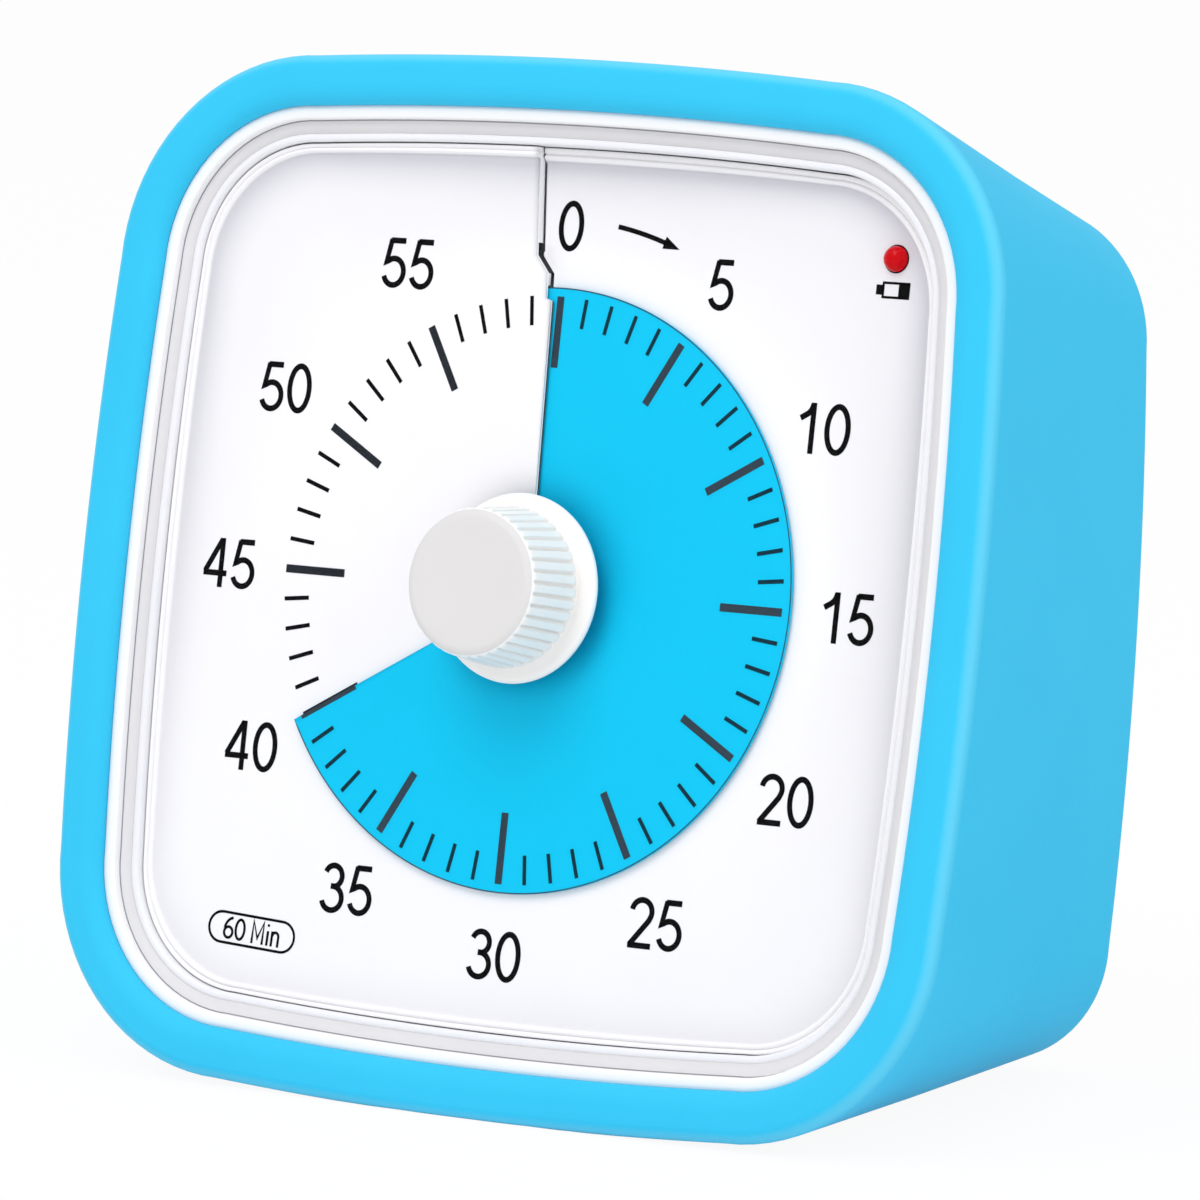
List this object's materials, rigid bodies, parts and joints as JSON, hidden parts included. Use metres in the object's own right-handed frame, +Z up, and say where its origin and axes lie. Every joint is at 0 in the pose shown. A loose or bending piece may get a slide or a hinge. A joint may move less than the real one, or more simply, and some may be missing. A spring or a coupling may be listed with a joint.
{
  "type": "visual countdown timer",
  "caption": "Leaning square countdown timer in a silicone sleeve: a ribbed knob winds a coloured disc out through a slit in the numbered dial; quartz movement inside.",
  "frame": {"origin": "centre of the case's footprint, on the surface it stands on", "axes": "+Z up, +X to the right as seen from the front, +Y to the back; the dial's face looks to -Y and leans back"},
  "size_m": [0.0824, 0.0472, 0.0809],
  "materials": {
    "silicone": "matte moulded silicone",
    "white_abs": "satin white ABS",
    "clear_window": "clear polycarbonate",
    "dial_sheet": "printed white polypropylene sheet",
    "support_plastic": "moulded grey-white",
    "disc_sheet": "dyed blue polypropylene sheet",
    "knob_plastic": "satin white ABS",
    "steel": "turned and stamped",
    "spring_bronze": "rolled phosphor bronze",
    "movement_plastic": "moulded acetal",
    "wheel_brass": "stamped",
    "magnet": "sintered, dark",
    "copper_wire": "enamelled winding",
    "board_laminate": "green laminate",
    "red_led": "clear red epoxy",
    "black_plastic": "moulded black",
    "switch_metal": "tinned steel",
    "cell_jacket": "plain printed jacket",
    "nickel_steel": "nickel plated",
    "wire_insulation": "insulated wire"
  },
  "bodies": {
    "case": {"silicone_sleeve": "silicone", "front_housing": "white_abs", "rear_housing": "white_abs", "window": "clear_window", "dial_plate": "dial_sheet", "dial_support": "support_plastic", "movement_base": "movement_plastic", "movement_cover": "movement_plastic", "stator": "steel", "coil_bobbin": "movement_plastic", "coil_winding": "copper_wire", "led_board": "board_laminate", "indicator_led": "red_led", "circuit_board": "board_laminate", "buzzer": "black_plastic", "volume_switch": "switch_metal", "alarm_switch": "switch_metal", "battery_cell": "cell_jacket", "positive_contact": "nickel_steel", "negative_spring": "nickel_steel", "housing_screws": "nickel_steel", "movement_screws": "nickel_steel", "board_screws": "nickel_steel", "battery_leads": "wire_insulation"},
    "knob": {"knob": "knob_plastic", "spindle": "steel", "clutch_spring": "spring_bronze"},
    "disc": {"timer_disc": "disc_sheet"},
    "centre_wheel": {"centre_wheel": "wheel_brass"},
    "second_wheel": {"second_wheel": "wheel_brass"},
    "first_wheel": {"first_wheel": "wheel_brass"},
    "rotor": {"rotor": "magnet"},
    "volume_slider": {"volume_slider": "black_plastic"},
    "alarm_slider": {"alarm_slider": "black_plastic"},
    "battery_door": {"battery_door": "white_abs"}
  },
  "joints": [
    {"name": "knob_turn", "type": "hinge", "parent": "case", "child": "knob", "pos_m": [0, -0.01317, 0.04], "axis": [0, 0.9836, -0.1805], "range_deg": [-240, 120]},
    {"name": "disc_rise", "type": "slide", "parent": "knob", "child": "disc", "axis": [0, -0.9836, 0.1805], "range_m": [-0.000605, 0.000305]},
    {"name": "first_wheel_spin", "type": "hinge", "parent": "case", "child": "first_wheel", "pos_m": [0.00039, -0.01571, 0.02611], "axis": [0, 0.9836, -0.1805], "continuous": true},
    {"name": "rotor_spin", "type": "hinge", "parent": "case", "child": "rotor", "pos_m": [0.00949, -0.01542, 0.02769], "axis": [0, 0.9836, -0.1805], "continuous": true},
    {"name": "second_wheel_spin", "type": "hinge", "parent": "case", "child": "second_wheel", "pos_m": [-0.0095, -0.01488, 0.03065], "axis": [0, 0.9836, -0.1805], "continuous": true},
    {"name": "centre_wheel_spin", "type": "hinge", "parent": "case", "child": "centre_wheel", "pos_m": [0, -0.01317, 0.04], "axis": [0, 0.9836, -0.1805], "continuous": true},
    {"name": "volume_slide", "type": "slide", "parent": "case", "child": "volume_slider", "axis": [1, 0, 0], "range_m": [0, 0.004]},
    {"name": "alarm_slide", "type": "slide", "parent": "case", "child": "alarm_slider", "axis": [1, 0, 0], "range_m": [0, 0.0025]},
    {"name": "battery_door_lift", "type": "slide", "parent": "case", "child": "battery_door", "axis": [0, 0.9979, -0.0645], "range_m": [0, 0.015]}
  ],
  "couplings": [
    {"joint": "disc_rise", "follows": "knob_turn", "m_per_rad": 0.00014324},
    {"joint": "rotor_spin", "follows": "first_wheel_spin", "ratio": -10},
    {"joint": "second_wheel_spin", "follows": "first_wheel_spin", "ratio": -0.083333},
    {"joint": "centre_wheel_spin", "follows": "first_wheel_spin", "ratio": 0.0055556}
  ]
}
